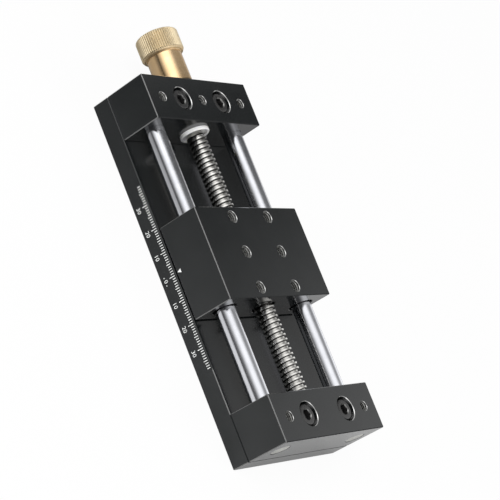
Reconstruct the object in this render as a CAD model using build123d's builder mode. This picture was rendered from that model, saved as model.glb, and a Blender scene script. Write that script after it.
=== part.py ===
from build123d import *
import os

# Manual translation stage: a carriage on two guide rods, driven by a lead screw and a thumb knob.
# The origin is the centre of the base plate's underside. X runs along the travel from the knob to
# the far end, Y runs across the plate and Z points up. Sizes are in millimetres.

os.makedirs("parts", exist_ok=True)

# Base plate
plate_length = 153.0
plate_width = 66.0
plate_thickness = 8.0
edge_chamfer = 0.3

# End blocks
block_length = 19.2
rod_edge_distance = 8.0

# Carriage, with its lift above the plate and its rise above the end blocks
carriage_length = 38.4
carriage_lift = 0.7
carriage_rise = 0.3
wall_under_nut = 1.8

# Guide rods
rod_diameter = 8.0
rod_recess = 0.1
rod_chamfer = 0.3

# Lead screw, whose thread is drawn as a plain cylinder of its outside diameter
thread_diameter = 8.0
thread_end_chamfer = 0.9
thread_end_gap = 1.0
journal_step = 1.0

# Bushes that carry the lead screw, and the wall beyond the far one's blind bore
screw_bush_wall = 2.0
bush_flange_step = 1.1
bush_flange_thickness = 1.4
far_wall = 7.2

# Thin-walled bushes in the carriage
rod_bush_wall = 1.0
rod_bush_length = 12.0
rod_bush_recess = 2.0

# Lead nut
nut_length = 20.0
nut_dimple_depth = 1.5
flange_side_room = 0.9
flange_end_room = 1.6
screw_side_room = 1.0

# Thumb knob
knob_shank_diameter = 14.5
knob_shank_length = 13.8
knob_shoulder = 1.65
knob_head_length = 9.4
knob_head_chamfer = 0.8
journal_in_knob = 16.0

# M5 socket head cap screws that hold the end blocks
cap_screw_diameter = 5.0
cap_tip_inset = 1.0
cap_head_diameter = 8.5
cap_head_height = 5.0
cap_head_sink = 0.7
cap_socket_width = 4.0
cap_socket_depth = 2.5
counterbore_diameter = 10.0
clearance_hole_diameter = 5.5

# M4 set screws
set_screw_diameter = 4.0
set_screw_sink = 2.5
lock_screw_sink = 1.2
lock_screw_gap = 0.3
lock_screw_side_room = 0.6

# Threaded holes in the carriage and the plate's mounting holes below them
carriage_thread_diameter = 5.0
carriage_thread_depth = 10.0
hole_edge_distance = 4.2
hole_spacing_across = 23.0
plate_counterbore_depth = 5.4

# Fits, each the clearance on the radius, and the room left at drilled and turned ends
running_clearance = 0.05
seat_clearance = 0.01
thread_clearance = 0.02
end_float = 0.05
drill_room = 1.0

# Diameters and heights that follow from the screw outwards
journal_diameter = thread_diameter - 2 * journal_step
screw_bush_diameter = journal_diameter + 2 * screw_bush_wall
bush_flange_diameter = screw_bush_diameter + 2 * bush_flange_step
nut_diameter = bush_flange_diameter + 2 * flange_side_room
screw_clearance_bore = thread_diameter + 2 * screw_side_room
axis_height = carriage_lift + wall_under_nut + nut_diameter / 2
block_height = 2 * axis_height
knob_head_diameter = knob_shank_diameter + 2 * knob_shoulder

# Places along Z
plate_top = plate_thickness
block_top = plate_top + block_height
axis_z = plate_top + axis_height
rod_top_z = axis_z + rod_diameter / 2
carriage_bottom = plate_top + carriage_lift
carriage_top = block_top + carriage_rise
carriage_height = carriage_top - carriage_bottom
counterbore_depth = cap_head_height + cap_head_sink
cap_seat_z = block_top - counterbore_depth
nut_bottom_z = axis_z - nut_diameter / 2
lock_screw_tip_z = axis_z + journal_diameter / 2 + lock_screw_gap

# Places along X
block_x = (plate_length - block_length) / 2
end_face_x = plate_length / 2
inner_face_x = end_face_x - block_length
carriage_face_x = carriage_length / 2
rod_bush_x = carriage_face_x - rod_bush_recess - rod_bush_length / 2
thread_start_x = -inner_face_x + bush_flange_thickness + end_float
thread_end_x = inner_face_x - thread_end_gap
far_journal_end_x = end_face_x - far_wall - drill_room
knob_face_x = -end_face_x - bush_flange_thickness - end_float
knob_shoulder_x = knob_face_x - knob_shank_length
knob_end_x = knob_shoulder_x - knob_head_length
journal_end_x = knob_face_x - journal_in_knob
knob_set_screw_x = knob_face_x - knob_shank_length / 2
nut_recess = bush_flange_thickness + flange_end_room
nut_face_x = -carriage_face_x + nut_recess
nut_set_screw_x = nut_face_x + nut_length / 2

# Spacings, the cap screws standing midway between each rod and the lead screw
rod_spacing = plate_width - 2 * rod_edge_distance
cap_screw_spacing = rod_spacing / 2
hole_spacing_along = carriage_length - 2 * hole_edge_distance

# Lengths of the pieces between those places
rod_length = plate_length - 2 * rod_recess
screw_bush_length = (block_length - set_screw_diameter) / 2 - lock_screw_side_room
far_bush_length = far_journal_end_x - inner_face_x
cap_screw_length = cap_seat_z - cap_tip_inset
rod_set_screw_length = block_top - set_screw_sink - rod_top_z
lock_screw_length = block_top - lock_screw_sink - lock_screw_tip_z
nut_set_screw_z = carriage_bottom + edge_chamfer
nut_set_screw_length = nut_bottom_z + nut_dimple_depth - nut_set_screw_z
knob_set_screw_z = axis_z - knob_shank_diameter / 2 + edge_chamfer
knob_set_screw_length = axis_z - journal_diameter / 2 - running_clearance - knob_set_screw_z

# Radii of the bores and tapped holes
rod_bore_radius = rod_diameter / 2 + seat_clearance
rod_bush_radius = rod_diameter / 2 + rod_bush_wall
rod_bush_seat_radius = rod_bush_radius + seat_clearance
screw_bush_seat_radius = screw_bush_diameter / 2 + seat_clearance
journal_bore_radius = journal_diameter / 2 + running_clearance
set_hole_radius = set_screw_diameter / 2 + thread_clearance
cap_hole_radius = cap_screw_diameter / 2 + thread_clearance
clearance_hole_radius = clearance_hole_diameter / 2
counterbore_radius = counterbore_diameter / 2
carriage_hole_radius = carriage_thread_diameter / 2


def cut_end_block(centre_x):
    """Cuts the bores and holes that both end blocks share, in the block being built."""
    with Locations((centre_x, -rod_spacing / 2, axis_z), (centre_x, rod_spacing / 2, axis_z)):
        Cylinder(rod_bore_radius, block_length, rotation=(0, 90, 0), mode=Mode.SUBTRACT)
    with Locations(Plane.XY.offset(block_top)):
        with Locations((centre_x, 0)):
            with GridLocations(0, cap_screw_spacing, 1, 2):
                CounterBoreHole(clearance_hole_radius, counterbore_radius, counterbore_depth, block_height)
            with GridLocations(0, rod_spacing, 1, 2):
                Hole(set_hole_radius, axis_height)


# The plate is milled all over. Four tapped holes take the end blocks' screws. The four counterbored
# holes in the middle lie under the carriage, and bolt the stage down when it is moved aside.
with BuildPart() as base_plate:
    with Locations((0, 0, plate_thickness / 2)):
        Box(plate_length, plate_width, plate_thickness)
    chamfer(base_plate.edges(), edge_chamfer)
    with Locations(Plane.XY.offset(plate_top)):
        with GridLocations(2 * block_x, cap_screw_spacing, 2, 2):
            Hole(cap_hole_radius, plate_thickness)
        with GridLocations(hole_spacing_along, hole_spacing_across, 2, 2):
            CounterBoreHole(clearance_hole_radius, counterbore_radius, plate_counterbore_depth)
base_plate.part.label = "base_plate"
export_step(base_plate.part, "parts/base_plate.step")

# The knob end block is bored right through for the screw, and its middle hole takes the lock screw.
with BuildPart() as knob_end_block:
    with Locations((-block_x, 0, plate_top + block_height / 2)):
        Box(block_length, plate_width, block_height)
    chamfer(knob_end_block.edges(), edge_chamfer)
    cut_end_block(-block_x)
    with Locations((-block_x, 0, axis_z)):
        Cylinder(screw_bush_seat_radius, block_length, rotation=(0, 90, 0), mode=Mode.SUBTRACT)
    with Locations((-block_x, 0, block_top)):
        Hole(set_hole_radius, axis_height)
knob_end_block.part.label = "knob_end_block"
export_step(knob_end_block.part, "parts/knob_end_block.step")

# The far end block has a blind bore for the plain bush.
with BuildPart() as far_end_block:
    with Locations((block_x, 0, plate_top + block_height / 2)):
        Box(block_length, plate_width, block_height)
    chamfer(far_end_block.edges(), edge_chamfer)
    cut_end_block(block_x)
    with BuildSketch(Plane.YZ.offset(inner_face_x)):
        with Locations((0, axis_z)):
            Circle(screw_bush_seat_radius)
    extrude(amount=far_bush_length + drill_room, mode=Mode.SUBTRACT)
far_end_block.part.label = "far_end_block"
export_step(far_end_block.part, "parts/far_end_block.step")

# The hardened rods end just inside the blocks' outer faces.
for rod_name, rod_y in (("front_guide_rod", -rod_spacing / 2), ("rear_guide_rod", rod_spacing / 2)):
    with BuildPart() as guide_rod:
        with BuildSketch(Plane.YZ.offset(-rod_length / 2)):
            with Locations((rod_y, axis_z)):
                Circle(rod_diameter / 2)
        extrude(amount=rod_length)
        chamfer(guide_rod.edges().filter_by(GeomType.CIRCLE), rod_chamfer)
    guide_rod.part.label = rod_name
    export_step(guide_rod.part, "parts/" + rod_name + ".step")

# Cap screws go down through each end block into the plate.
for screws_name, screws_x in (("knob_block_screws", -block_x), ("far_block_screws", block_x)):
    with BuildPart() as cap_screws:
        with BuildSketch(Plane.XY.offset(cap_seat_z - cap_screw_length)):
            with Locations((screws_x, 0)):
                with GridLocations(0, cap_screw_spacing, 1, 2):
                    Circle(cap_screw_diameter / 2)
        extrude(amount=cap_screw_length)
        with BuildSketch(Plane.XY.offset(cap_seat_z)):
            with Locations((screws_x, 0)):
                with GridLocations(0, cap_screw_spacing, 1, 2):
                    Circle(cap_head_diameter / 2)
        extrude(amount=cap_head_height)
        with BuildSketch(Plane.XY.offset(cap_seat_z + cap_head_height)):
            with Locations((screws_x, 0)):
                with GridLocations(0, cap_screw_spacing, 1, 2):
                    RegularPolygon(cap_socket_width / 2, 6, major_radius=False)
        extrude(amount=-cap_socket_depth, mode=Mode.SUBTRACT)
    cap_screws.part.label = screws_name
    export_step(cap_screws.part, "parts/" + screws_name + ".step")

# Set screws stand on the rods and clamp them.
for screws_name, screws_x in (("knob_block_set_screws", -block_x), ("far_block_set_screws", block_x)):
    with BuildPart() as rod_set_screws:
        with BuildSketch(Plane.XY.offset(rod_top_z)):
            with Locations((screws_x, 0)):
                with GridLocations(0, rod_spacing, 1, 2):
                    Circle(set_screw_diameter / 2)
        extrude(amount=rod_set_screw_length)
    rod_set_screws.part.label = screws_name
    export_step(rod_set_screws.part, "parts/" + screws_name + ".step")

# The lock screw stands a little clear of the journal between the two flanged bushes.
with BuildPart() as screw_lock_set_screw:
    with BuildSketch(Plane.XY.offset(lock_screw_tip_z)):
        with Locations((-block_x, 0)):
            Circle(set_screw_diameter / 2)
    extrude(amount=lock_screw_length)
screw_lock_set_screw.part.label = "screw_lock_set_screw"
export_step(screw_lock_set_screw.part, "parts/screw_lock_set_screw.step")

# White flanged bushes are pushed into the knob end block from both faces. Their flanges take the
# screw's thrust, one against the thread's shoulder and one against the knob.
for bush_name, face_x, outward in (
    ("inner_flanged_bush", -inner_face_x, 1),
    ("outer_flanged_bush", -end_face_x, -1),
):
    with BuildPart() as flanged_bush:
        with BuildSketch(Plane.YZ.offset(face_x)):
            with Locations((0, axis_z)):
                Circle(screw_bush_diameter / 2)
        extrude(amount=-outward * screw_bush_length)
        with BuildSketch(Plane.YZ.offset(face_x)):
            with Locations((0, axis_z)):
                Circle(bush_flange_diameter / 2)
        extrude(amount=outward * bush_flange_thickness)
        with Locations((face_x, 0, axis_z)):
            bore_length = 2 * (screw_bush_length + bush_flange_thickness)
            Cylinder(journal_bore_radius, bore_length, rotation=(0, 90, 0), mode=Mode.SUBTRACT)
    flanged_bush.part.label = bush_name
    export_step(flanged_bush.part, "parts/" + bush_name + ".step")

# The plain bush sits flush with the far end block's inner face.
with BuildPart() as far_end_bush:
    with BuildSketch(Plane.YZ.offset(inner_face_x)):
        with Locations((0, axis_z)):
            Circle(screw_bush_diameter / 2)
            Circle(journal_bore_radius, mode=Mode.SUBTRACT)
    extrude(amount=far_bush_length)
far_end_bush.part.label = "far_end_bush"
export_step(far_end_bush.part, "parts/far_end_bush.step")

# The carriage is one milled block. Its rod bores run right through, the nut's seat opens towards
# the knob, and a narrower bore lets the screw out on the far side.
with BuildPart() as carriage_block:
    with Locations((0, 0, carriage_bottom + carriage_height / 2)):
        Box(carriage_length, plate_width, carriage_height)
    chamfer(carriage_block.edges(), edge_chamfer)
    with Locations((0, -rod_spacing / 2, axis_z), (0, rod_spacing / 2, axis_z)):
        Cylinder(rod_bush_seat_radius, carriage_length, rotation=(0, 90, 0), mode=Mode.SUBTRACT)
    with Locations((0, 0, axis_z)):
        Cylinder(screw_clearance_bore / 2, carriage_length, rotation=(0, 90, 0), mode=Mode.SUBTRACT)
    with BuildSketch(Plane.YZ.offset(-carriage_face_x)):
        with Locations((0, axis_z)):
            Circle(nut_diameter / 2 + seat_clearance)
    extrude(amount=nut_recess + nut_length, mode=Mode.SUBTRACT)
    with Locations(Plane.XY.offset(carriage_top)):
        with GridLocations(hole_spacing_along / 2, hole_spacing_across, 3, 2):
            Hole(carriage_hole_radius, carriage_thread_depth)
    with BuildSketch(Plane.XY.offset(carriage_bottom)):
        with Locations((nut_set_screw_x, 0)):
            Circle(set_hole_radius)
    extrude(amount=axis_z - carriage_bottom, mode=Mode.SUBTRACT)
carriage_block.part.label = "carriage_block"
export_step(carriage_block.part, "parts/carriage_block.step")

# Four thin-walled bushes run on the rods, set back from the carriage's faces.
for bush_name, bush_x, bush_y in (
    ("front_bush_knob_side", -rod_bush_x, -rod_spacing / 2),
    ("front_bush_far_side", rod_bush_x, -rod_spacing / 2),
    ("rear_bush_knob_side", -rod_bush_x, rod_spacing / 2),
    ("rear_bush_far_side", rod_bush_x, rod_spacing / 2),
):
    with BuildPart() as rod_bush:
        with BuildSketch(Plane.YZ.offset(bush_x - rod_bush_length / 2)):
            with Locations((bush_y, axis_z)):
                Circle(rod_bush_radius)
                Circle(rod_diameter / 2 + running_clearance, mode=Mode.SUBTRACT)
        extrude(amount=rod_bush_length)
    rod_bush.part.label = bush_name
    export_step(rod_bush.part, "parts/" + bush_name + ".step")

# The brass nut lies deep enough to let the white flange in at the end of the travel. The set screw
# from below enters a dimple in it.
with BuildPart() as lead_nut:
    with BuildSketch(Plane.YZ.offset(nut_face_x)):
        with Locations((0, axis_z)):
            Circle(nut_diameter / 2)
            Circle(thread_diameter / 2 + running_clearance, mode=Mode.SUBTRACT)
    extrude(amount=nut_length)
    with BuildSketch(Plane.XY.offset(nut_bottom_z)):
        with Locations((nut_set_screw_x, 0)):
            Circle(set_hole_radius)
    extrude(amount=nut_dimple_depth, mode=Mode.SUBTRACT)
lead_nut.part.label = "lead_nut"
export_step(lead_nut.part, "parts/lead_nut.step")

# This set screw holds the nut. It stands in the carriage's underside, just clear of the plate.
with BuildPart() as nut_set_screw:
    with BuildSketch(Plane.XY.offset(nut_set_screw_z)):
        with Locations((nut_set_screw_x, 0)):
            Circle(set_screw_diameter / 2)
    extrude(amount=nut_set_screw_length)
nut_set_screw.part.label = "nut_set_screw"
export_step(nut_set_screw.part, "parts/nut_set_screw.step")

# The lead screw's journals run in the bushes, and the long one reaches into the knob.
with BuildPart() as lead_screw:
    with BuildSketch(Plane.YZ.offset(thread_start_x)):
        with Locations((0, axis_z)):
            Circle(thread_diameter / 2)
    extrude(amount=thread_end_x - thread_start_x)
    chamfer(lead_screw.edges().filter_by(GeomType.CIRCLE), thread_end_chamfer)
    with BuildSketch(Plane.YZ.offset(journal_end_x)):
        with Locations((0, axis_z)):
            Circle(journal_diameter / 2)
    extrude(amount=far_journal_end_x - journal_end_x)
lead_screw.part.label = "lead_screw"
export_step(lead_screw.part, "parts/lead_screw.step")

# The knob is turned from brass bar, a broad head on a long shank, and its blind bore takes the
# journal. A set screw goes in through the shank's underside.
head_top_z = axis_z + knob_head_diameter / 2
shank_top_z = axis_z + knob_shank_diameter / 2
with BuildPart() as knob:
    with BuildSketch(Plane.XZ):
        with BuildLine():
            Polyline(
                (knob_end_x, axis_z),
                (knob_end_x, head_top_z - knob_head_chamfer),
                (knob_end_x + knob_head_chamfer, head_top_z),
                (knob_shoulder_x, head_top_z),
                (knob_shoulder_x, shank_top_z),
                (knob_face_x, shank_top_z),
                (knob_face_x, axis_z),
                close=True,
            )
        make_face()
    revolve(axis=Axis((0, 0, axis_z), (1, 0, 0)))
    with BuildSketch(Plane.YZ.offset(knob_face_x)):
        with Locations((0, axis_z)):
            Circle(journal_diameter / 2 + seat_clearance)
    extrude(amount=-journal_in_knob - drill_room, mode=Mode.SUBTRACT)
    with BuildSketch(Plane.XY.offset(axis_z)):
        with Locations((knob_set_screw_x, 0)):
            Circle(set_hole_radius)
    extrude(amount=-knob_shank_diameter, mode=Mode.SUBTRACT)
knob.part.label = "knob"
export_step(knob.part, "parts/knob.step")

# This set screw holds the knob, standing on the journal inside the shank.
with BuildPart() as knob_set_screw:
    with BuildSketch(Plane.XY.offset(knob_set_screw_z)):
        with Locations((knob_set_screw_x, 0)):
            Circle(set_screw_diameter / 2)
    extrude(amount=knob_set_screw_length)
knob_set_screw.part.label = "knob_set_screw"
export_step(knob_set_screw.part, "parts/knob_set_screw.step")
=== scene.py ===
import math

import bmesh
import bpy
from mathutils import Matrix, Quaternion, Vector


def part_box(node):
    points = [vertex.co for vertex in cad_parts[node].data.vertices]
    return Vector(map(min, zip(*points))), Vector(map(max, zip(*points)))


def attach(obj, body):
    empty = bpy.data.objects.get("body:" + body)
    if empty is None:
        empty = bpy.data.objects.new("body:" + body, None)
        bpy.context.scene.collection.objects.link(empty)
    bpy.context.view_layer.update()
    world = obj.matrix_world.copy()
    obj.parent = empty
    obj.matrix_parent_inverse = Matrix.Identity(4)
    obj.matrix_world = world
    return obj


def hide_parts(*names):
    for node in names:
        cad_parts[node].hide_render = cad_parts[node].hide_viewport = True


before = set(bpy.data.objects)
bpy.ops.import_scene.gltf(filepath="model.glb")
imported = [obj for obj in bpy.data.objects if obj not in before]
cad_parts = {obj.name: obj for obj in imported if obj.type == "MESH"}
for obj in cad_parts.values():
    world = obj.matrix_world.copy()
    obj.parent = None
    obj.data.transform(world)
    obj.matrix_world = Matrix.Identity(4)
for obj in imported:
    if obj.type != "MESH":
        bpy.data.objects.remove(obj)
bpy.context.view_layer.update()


# Base plate. An aluminium bar, milled all over, drilled and anodised black. Its front edge carries
# a millimetre scale, engraved and filled with white paint.
mm = 0.001
same_spot = 0.0005


def new_finish(name):
    """A material, with its node tree and its shader."""
    finish = bpy.data.materials.new(name)
    finish.use_nodes = True
    return finish, finish.node_tree, finish.node_tree.nodes["Principled BSDF"]


def fill_inputs(node, inputs):
    """Gives a node's inputs their values, which are numbers, colours or other nodes' outputs."""
    for name, value in inputs.items():
        if isinstance(value, bpy.types.NodeSocket):
            node.id_data.links.new(value, node.inputs[name])
        else:
            node.inputs[name].default_value = value


def add_node(tree, kind, inputs, **settings):
    """A new node of a kind, with its settings and inputs."""
    node = tree.nodes.new("ShaderNode" + kind)
    for name, value in settings.items():
        setattr(node, name, value)
    fill_inputs(node, inputs)
    return node


def axis_parts(tree, coordinate):
    """The X, Y and Z of a surface's coordinate: its place, or the way it faces."""
    place = tree.nodes.new("ShaderNodeTexCoord")
    return add_node(tree, "SeparateXYZ", {"Vector": place.outputs[coordinate]}).outputs


def mottle(tree, size, stretch=(1, 1, 1), detail=4):
    """Noise with spots of about the given size, stretched along the piece's own axes."""
    place = tree.nodes.new("ShaderNodeTexCoord")
    mapping = add_node(tree, "Mapping", {"Vector": place.outputs["Object"], "Scale": stretch})
    inputs = {"Vector": mapping.outputs["Vector"], "Scale": 1 / size, "Detail": detail}
    return add_node(tree, "TexNoise", inputs).outputs["Fac"]


def spread(tree, value, low, high, start=0.3, end=0.7, course="LINEAR"):
    """The value carried from start..end to low..high, and held there."""
    inputs = {"Value": value, "From Min": start, "From Max": end, "To Min": low, "To Max": high}
    return add_node(tree, "MapRange", inputs, interpolation_type=course).outputs["Result"]


def mixed_colour(tree, share, dark, light):
    """A colour from dark to light by the share."""
    inputs = {"Factor": share, "A": (*dark, 1), "B": (*light, 1)}
    return add_node(tree, "Mix", inputs, data_type="RGBA").outputs["Result"]


def clouded(tree, noise, dark, light):
    """A colour that runs from dark to light with a noise."""
    return mixed_colour(tree, spread(tree, noise, 0, 1), dark, light)


def stain(tree, share, colour):
    """Mixes a colour into the one that a finish has, by the share, as for painted shade and painted highlights.
    """
    shader = tree.nodes["Principled BSDF"]
    clean = shader.inputs["Base Color"].links[0].from_socket
    tinted = add_node(tree, "Mix", {"Factor": share, "A": clean, "B": (*colour, 1)}, data_type="RGBA")
    fill_inputs(shader, {"Base Color": tinted.outputs["Result"]})


def calculated(tree, operation, *values):
    """The result of an operation on values, which are numbers or other nodes' outputs."""
    return add_node(tree, "Math", dict(enumerate(values)), operation=operation).outputs["Value"]


def times(tree, value, factor):
    """Two values multiplied."""
    return calculated(tree, "MULTIPLY", value, factor)


def rest_of(tree, share):
    """What a share leaves of 1."""
    return calculated(tree, "SUBTRACT", 1, share)


def add_bump(shader, height, depth, strength=1.0):
    """Surface relief from a height of 0 to 1, depth metres deep."""
    bump = add_node(shader.id_data, "Bump", {"Strength": strength, "Distance": depth, "Height": height})
    fill_inputs(shader, {"Normal": bump.outputs["Normal"]})


def black_anodised(plate_edge_z, scale_end_x, seam_start_x):
    """Satin black, a little clouded, with a fine etched grain.

    The broken edges that face the front are painted paler, as wear and as a painted highlight, but not
    the plate's edge along the scale, and the seam between the plate and the far end block is dull with dirt.
    """
    slanting = (0.72, 0.95)
    frontward = (-0.6, -0.2)
    elsewhere = 0.04
    edge_band = (0.4 * mm, 0.5 * mm)
    seam_band = (0.22 * mm, 0.34 * mm)
    finish, tree, shader = new_finish("black_anodised")
    facing = axis_parts(tree, "Normal")
    sizes = [calculated(tree, "ABSOLUTE", facing[axis]) for axis in "XYZ"]
    largest = calculated(tree, "MAXIMUM", calculated(tree, "MAXIMUM", *sizes[:2]), sizes[2])
    edge = spread(tree, largest, 1, 0, *slanting)
    # How much an edge faces the front, which sets how strong its painted highlight is.
    to_front = spread(tree, facing["Y"], 1, elsewhere, *frontward)
    spot = axis_parts(tree, "Object")
    off_plate_edge = calculated(tree, "SUBTRACT", spot["Z"], plate_edge_z)
    off_plate_edge = calculated(tree, "ABSOLUTE", off_plate_edge)
    at_plate_edge = spread(tree, off_plate_edge, 1, 0, *edge_band)
    in_seam = spread(tree, off_plate_edge, 1, 0, *seam_band)
    past_scale = spread(tree, spot["X"], 0, 1, scale_end_x, scale_end_x + 1 * mm)
    at_seam = spread(tree, spot["X"], 0, 1, seam_start_x, seam_start_x + 0.3 * mm)
    dirt_and_shade = times(tree, in_seam, at_seam)
    open_run = calculated(tree, "SUBTRACT", past_scale, at_seam)
    kept = times(tree, at_plate_edge, rest_of(tree, open_run))
    worn_and_highlit = times(tree, edge, rest_of(tree, kept))
    grain = mottle(tree, 0.4 * mm, detail=3)
    satin = spread(tree, grain, 0.13, 0.18)
    clouds = mottle(tree, 9 * mm, detail=3)
    shade = clouded(tree, clouds, (0.0064, 0.0077, 0.0081), (0.0092, 0.0106, 0.011))
    dullness = calculated(tree, "MAXIMUM", satin, dirt_and_shade)
    fill_inputs(shader, {"Base Color": shade, "Roughness": dullness, "Specular IOR Level": 0.5})
    # Painted highlight: the broken edges that face the front are mixed paler, partly as wear and partly for the
    # light they catch.
    stain(tree, times(tree, worn_and_highlit, to_front), (0.13, 0.13, 0.13))
    add_bump(shader, grain, 0.005 * mm, 0.8)
    return finish


def white_paint():
    """Matt white paint, wiped into engraved lines."""
    finish, tree, shader = new_finish("white_paint")
    flecks = mottle(tree, 0.2 * mm)
    shade = clouded(tree, flecks, (0.72, 0.73, 0.72), (0.88, 0.89, 0.88))
    fill_inputs(shader, {"Base Color": shade, "Roughness": 0.6})
    add_bump(shader, flecks, 0.02 * mm)
    return finish


smooth_below = math.radians(30)
cut_smooth_below = math.radians(20)
flat_below = math.radians(0.2)
full_turn = math.radians(360)
cutter_lift = 0.5
up = (0, 0, 1)
down = (0, 0, -1)


def piece_from(name, form, finishes):
    """An object from a bmesh in millimetres, smooth where its faces meet at a low angle."""
    bmesh.ops.scale(form, vec=(mm, mm, mm), verts=form.verts)
    mesh = bpy.data.meshes.new(name)
    form.to_mesh(mesh)
    form.free()
    cad_normals = mesh.attributes.get("custom_normal")
    if cad_normals:
        mesh.attributes.remove(cad_normals)
    for finish in finishes:
        mesh.materials.append(finish)
    mesh.shade_smooth()
    mesh.set_sharp_from_angle(angle=smooth_below)
    piece = bpy.data.objects.new(name, mesh)
    bpy.context.scene.collection.objects.link(piece)
    return piece


def cut_away(piece, cutters):
    """Takes a form of cutters away from a piece. The cut faces keep the cutters' finishes.

    No two cutters of a form may cross.
    """
    bmesh.ops.remove_doubles(cutters, verts=cutters.verts, dist=same_spot)
    tool = piece_from(piece.name + "_cutter", cutters, piece.data.materials)
    cut = piece.modifiers.new("cut", "BOOLEAN")
    cut.operation = "DIFFERENCE"
    cut.solver = "EXACT"
    cut.object = tool
    bpy.context.view_layer.update()
    done = bpy.data.meshes.new_from_object(piece.evaluated_get(bpy.context.evaluated_depsgraph_get()))
    piece.modifiers.clear()
    piece.data = done
    done.name = piece.name
    done.shade_smooth()
    done.set_sharp_from_angle(angle=cut_smooth_below)
    bpy.data.objects.remove(tool)


def machined_copy(node, name, cutters, finishes):
    """The CAD node's own shape, in the first finish, with the cutters taken away."""
    form = bmesh.new()
    form.from_mesh(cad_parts[node].data)
    bmesh.ops.scale(form, vec=(1 / mm, 1 / mm, 1 / mm), verts=form.verts)
    bmesh.ops.remove_doubles(form, verts=form.verts, dist=same_spot)
    bmesh.ops.dissolve_limit(form, angle_limit=flat_below, verts=form.verts, edges=form.edges)
    for face in form.faces:
        face.material_index = 0
    piece = piece_from(name, form, finishes)
    cut_away(piece, cutters)
    return piece


def set_finish(verts, material_index):
    """Gives the faces at some points one of the piece's finishes."""
    for face in {face for vert in verts for face in vert.link_faces}:
        face.material_index = material_index


def add_cone(form, place, outward, depth, inner_radius, outer_radius, segments=64, material_index=0):
    """Adds a cone or a drill that enters a face at the place, and stands a little proud of it.

    The outer radius is the one at the face, and the inner one is at the full depth.
    """
    outward = Vector(outward)
    growth = (outer_radius - inner_radius) / depth
    turn = Vector(up).rotation_difference(outward).to_matrix().to_4x4()
    made = bmesh.ops.create_cone(
        form,
        cap_ends=True,
        segments=segments,
        radius1=inner_radius,
        radius2=outer_radius + growth * cutter_lift,
        depth=depth + cutter_lift,
        matrix=Matrix.Translation(Vector(place) + outward * (cutter_lift - depth) / 2) @ turn,
    )
    set_finish(made["verts"], material_index)


def break_edge(form, place, outward, radius, width, material_index=0):
    """Adds the small countersink that breaks the edge of a hole, width millimetres wide."""
    add_cone(form, place, outward, radius + width, 0, radius + width, 64, material_index)


def add_numeral(form, text, middle):
    """Adds an upright number to a form, to be engraved in the front and painted."""
    curve = bpy.data.curves.new("numeral", "FONT")
    curve.body = text
    curve.align_x = "CENTER"
    curve.align_y = "CENTER"
    curve.size = numeral_height / digit_share
    curve.extrude = engraving_depth
    curve.resolution_u = 3
    holder = bpy.data.objects.new("numeral", curve)
    bpy.context.scene.collection.objects.link(holder)
    bpy.context.view_layer.update()
    drawn = bpy.data.meshes.new_from_object(holder.evaluated_get(bpy.context.evaluated_depsgraph_get()))
    bpy.data.objects.remove(holder)
    drawn.transform(Matrix.Translation(middle) @ Matrix.Rotation(math.radians(90), 4, "X"))
    first = len(form.faces)
    form.from_mesh(drawn)
    form.faces.ensure_lookup_table()
    for face in form.faces[first:]:
        face.material_index = 1
    bpy.data.meshes.remove(drawn)


plate_low, plate_high = (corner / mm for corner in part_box("base_plate"))
scale_reach = 38
anodised = black_anodised(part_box("base_plate")[1].z, (scale_reach + 0.5) * mm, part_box("far_end_block")[0].x)
paint = white_paint()
front_y = plate_low.y
plate_top = plate_high.z
engraving_depth = 0.12
tick_width = 0.3
tick_top = plate_top - 0.65
short_tick_end = plate_top - 2.25
medium_tick_end = plate_top - 2.65
long_tick_end = plate_top - 3.35
last_number = 30
digit_share = 0.7
numeral_height = 1.82
numeral_shift = 0.35
numeral_z = 2.4
zero_dot_x = 1.55
zero_dot_z = 2.15
zero_dot_width = 0.42


def add_mark(form, middle_x, width, low_z, high_z):
    """Adds a box to a form, to be engraved in the front as a mark and painted."""
    low = Vector((middle_x - width / 2, front_y - 1, low_z))
    high = Vector((middle_x + width / 2, front_y + engraving_depth, high_z))
    place = Matrix.Translation((low + high) / 2) @ Matrix.Diagonal((*(high - low), 1))
    set_finish(bmesh.ops.create_cube(form, size=1, matrix=place)["verts"], 1)


cuts = bmesh.new()
for millimetre in range(-scale_reach, scale_reach + 1):
    tick_end = short_tick_end
    if millimetre % 5 == 0:
        tick_end = medium_tick_end
    if millimetre % 10 == 0:
        tick_end = long_tick_end
    add_mark(cuts, millimetre, tick_width, tick_end, tick_top)
for millimetre in range(-last_number, last_number + 1, 10):
    add_numeral(cuts, str(abs(millimetre)), (millimetre + numeral_shift, front_y, numeral_z))
for x in (numeral_shift - zero_dot_x, numeral_shift + zero_dot_x):
    add_mark(cuts, x, zero_dot_width, zero_dot_z - zero_dot_width / 2, zero_dot_z + zero_dot_width / 2)
cap_screw_x = 66.9
cap_screw_y = 12.5
cap_hole_radius = 2.52
mount_hole_x = 15.0
mount_hole_y = 11.5
mount_hole_radius = 2.75
counterbore_radius = 5.0
plate_edge_break = 0.25
for x in (-mount_hole_x, mount_hole_x):
    for y in (-mount_hole_y, mount_hole_y):
        break_edge(cuts, (x, y, plate_top), up, counterbore_radius, plate_edge_break)
        break_edge(cuts, (x, y, 0), down, mount_hole_radius, plate_edge_break)
for x in (-cap_screw_x, cap_screw_x):
    for y in (-cap_screw_y, cap_screw_y):
        break_edge(cuts, (x, y, 0), down, cap_hole_radius, plate_edge_break)
base_plate = machined_copy("base_plate", "scaled_base_plate", cuts, [anodised, paint])
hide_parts("base_plate")
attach(base_plate, "frame")


# End blocks. Two bars of the same aluminium, bored for the rods and the screw and anodised black.
# Every hole has its edge broken. The set screws' holes are tapped afterwards, so their threads are bare.


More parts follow.
